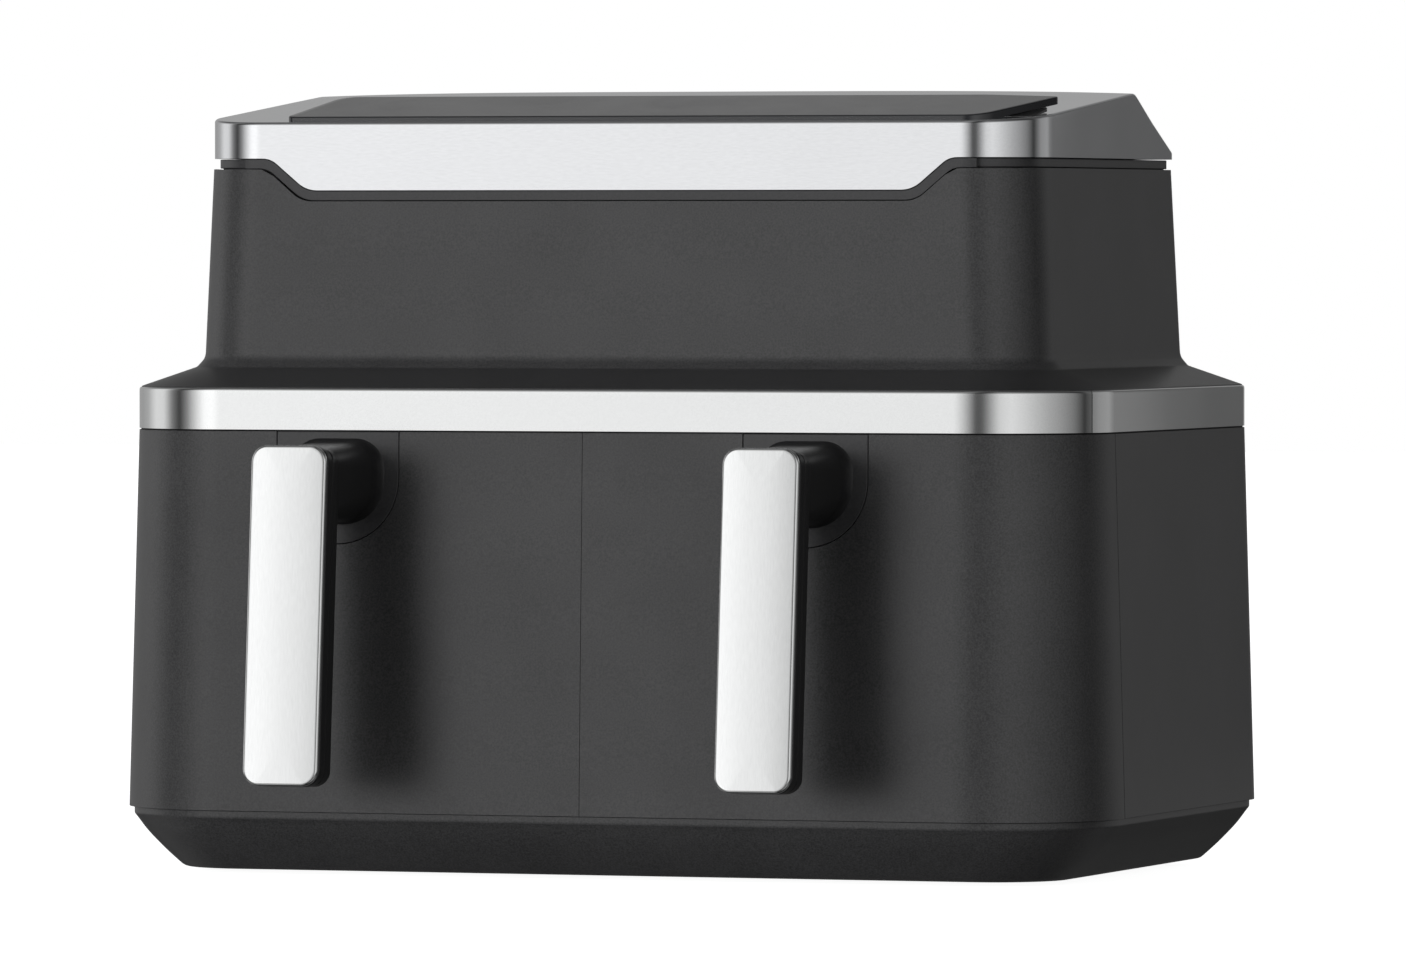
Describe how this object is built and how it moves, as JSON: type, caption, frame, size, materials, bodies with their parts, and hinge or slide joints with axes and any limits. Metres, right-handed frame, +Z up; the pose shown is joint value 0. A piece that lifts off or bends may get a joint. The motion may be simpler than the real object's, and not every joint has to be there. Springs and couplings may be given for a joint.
{
  "type": "air fryer",
  "caption": "Countertop air fryer: tapered charcoal body with side-by-side pull-out basket drawers, vertical handles, a stepped upper housing and a silver cap with a touch panel.",
  "frame": {"origin": "centre of the overall box in plan, on the plane that the feet stand on", "axes": "+X to the object's right seen from the front, +Y to the back, +Z up"},
  "size_m": [0.4082, 0.3122, 0.308],
  "materials": {
    "charcoal_shell": "fine moulded grain",
    "black_plastic": "satin moulded",
    "satin_silver": "satin",
    "panel_glass": "polished dark grey",
    "chamber_steel": "aluminised sheet",
    "nonstick_coat": "matt non-stick coating",
    "motor_steel": "zinc plated",
    "board_green": "solder mask",
    "silicone": "matt"
  },
  "bodies": {
    "casing": {"apron_trim": "black_plastic", "band_front": "satin_silver", "band_rear": "satin_silver", "base_tray": "charcoal_shell", "bay_frame": "black_plastic", "chamber_left": "chamber_steel", "chamber_right": "chamber_steel", "control_board": "board_green", "control_glass": "panel_glass", "control_plinth": "black_plastic", "cord_gland": "black_plastic", "door_switch_left": "black_plastic", "door_switch_right": "black_plastic", "fan_motor_left": "motor_steel", "fan_motor_right": "motor_steel", "foot_front_left": "silicone", "foot_front_right": "silicone", "foot_rear_left": "silicone", "foot_rear_right": "silicone", "heater_guard_left": "chamber_steel", "heater_guard_right": "chamber_steel", "heater_left": "chamber_steel", "heater_right": "chamber_steel", "lower_housing": "charcoal_shell", "mid_frame": "black_plastic", "power_board": "board_green", "rear_vent_grille": "black_plastic", "reveal_ring": "black_plastic", "top_cap": "satin_silver", "upper_housing": "charcoal_shell"},
    "drawer_left": {"drawer_front_left": "charcoal_shell", "basket_left": "nonstick_coat", "handle_arm_left": "black_plastic", "handle_screw_left": "chamber_steel", "handle_grip_left": "black_plastic", "handle_trim_left": "satin_silver"},
    "crisper_left": {"crisper_plate_left": "nonstick_coat", "bumper_left_front_inner": "silicone", "bumper_left_front_outer": "silicone", "bumper_left_rear_inner": "silicone", "bumper_left_rear_outer": "silicone"},
    "rotor_left": {"rotor_shaft_left": "chamber_steel", "air_fan_left": "chamber_steel", "cooling_fan_left": "black_plastic"},
    "plunger_left": {"switch_plunger_left": "silicone"},
    "drawer_right": {"drawer_front_right": "charcoal_shell", "basket_right": "nonstick_coat", "handle_arm_right": "black_plastic", "handle_screw_right": "chamber_steel", "handle_grip_right": "black_plastic", "handle_trim_right": "satin_silver"},
    "crisper_right": {"crisper_plate_right": "nonstick_coat", "bumper_right_front_inner": "silicone", "bumper_right_front_outer": "silicone", "bumper_right_rear_inner": "silicone", "bumper_right_rear_outer": "silicone"},
    "rotor_right": {"rotor_shaft_right": "chamber_steel", "air_fan_right": "chamber_steel", "cooling_fan_right": "black_plastic"},
    "plunger_right": {"switch_plunger_right": "silicone"}
  },
  "joints": [
    {"name": "drawer_left_slide", "type": "slide", "parent": "casing", "child": "drawer_left", "axis": [0, -1, 0], "range_m": [0, 0.185]},
    {"name": "crisper_left_lift", "type": "slide", "parent": "drawer_left", "child": "crisper_left", "axis": [0, 0, 1], "range_m": [0, 0.085]},
    {"name": "rotor_left_spin", "type": "hinge", "parent": "casing", "child": "rotor_left", "pos_m": [-0.098, 0.0449, 0.1918], "axis": [0, 0, 1], "continuous": true},
    {"name": "plunger_left_press", "type": "slide", "parent": "casing", "child": "plunger_left", "axis": [0, 1, 0], "range_m": [0, 0.0015], "stiffness_N_per_m": 150},
    {"name": "drawer_right_slide", "type": "slide", "parent": "casing", "child": "drawer_right", "axis": [0, -1, 0], "range_m": [0, 0.185]},
    {"name": "crisper_right_lift", "type": "slide", "parent": "drawer_right", "child": "crisper_right", "axis": [0, 0, 1], "range_m": [0, 0.085]},
    {"name": "rotor_right_spin", "type": "hinge", "parent": "casing", "child": "rotor_right", "pos_m": [0.098, 0.0449, 0.1918], "axis": [0, 0, 1], "continuous": true},
    {"name": "plunger_right_press", "type": "slide", "parent": "casing", "child": "plunger_right", "axis": [0, 1, 0], "range_m": [0, 0.0015], "stiffness_N_per_m": 150}
  ]
}
